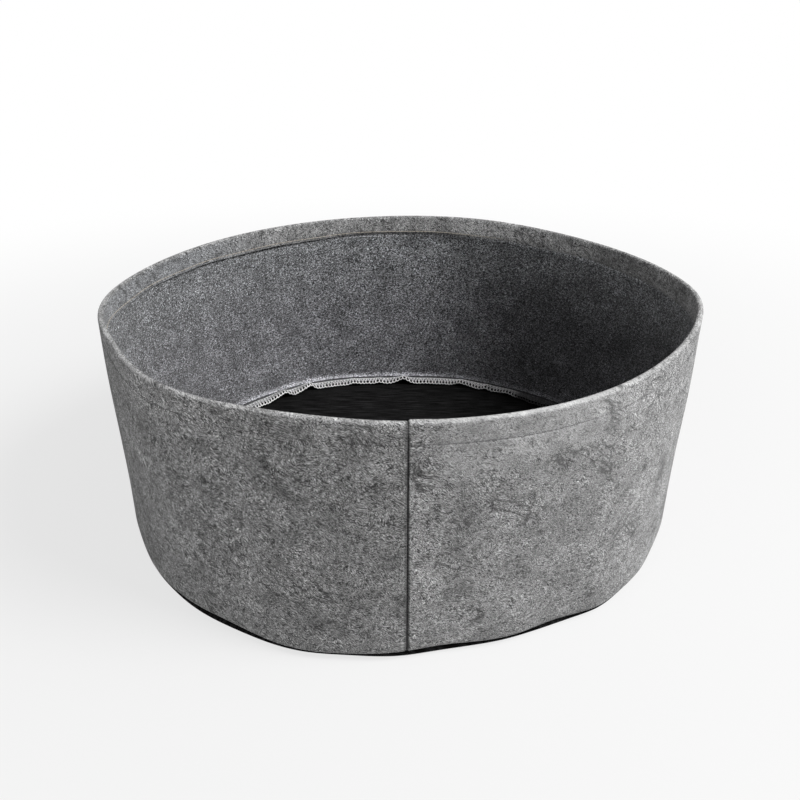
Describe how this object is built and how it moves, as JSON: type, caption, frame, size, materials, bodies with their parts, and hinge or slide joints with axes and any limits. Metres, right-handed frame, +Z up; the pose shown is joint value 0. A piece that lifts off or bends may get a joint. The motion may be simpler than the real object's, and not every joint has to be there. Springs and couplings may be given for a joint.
{
  "type": "fabric grow bag",
  "caption": "Low round planter bag of grey felt, open at the top, with a hemmed rim, one vertical side seam and a dark sewn-in base.",
  "frame": {"origin": "centre of the flat underside of the base, on the ground", "axes": "+Z up through the open rim; the vertical side seam faces -Y, and +X is to the right when the seam faces the viewer"},
  "size_m": [0.6, 0.5999, 0.233],
  "materials": {
    "felt": "matte",
    "base_fabric": "matte",
    "grey_thread": "satin",
    "cream_thread": "satin",
    "white_thread": "satin"
  },
  "bodies": {
    "root": {"side_wall": "felt", "base_panel": "base_fabric", "hem_needle_thread": "grey_thread", "hem_bobbin_thread": "cream_thread", "side_chain_needle_thread": "grey_thread", "side_chain_looper_thread": "white_thread", "side_overlock_needle_thread": "white_thread", "side_overlock_upper_looper_thread": "white_thread", "side_overlock_lower_looper_thread": "white_thread", "base_chain_needle_thread": "grey_thread", "base_chain_looper_thread": "white_thread", "base_overlock_needle_thread": "white_thread", "base_overlock_upper_looper_thread": "white_thread", "base_overlock_lower_looper_thread": "white_thread"}
  },
  "joints": []
}
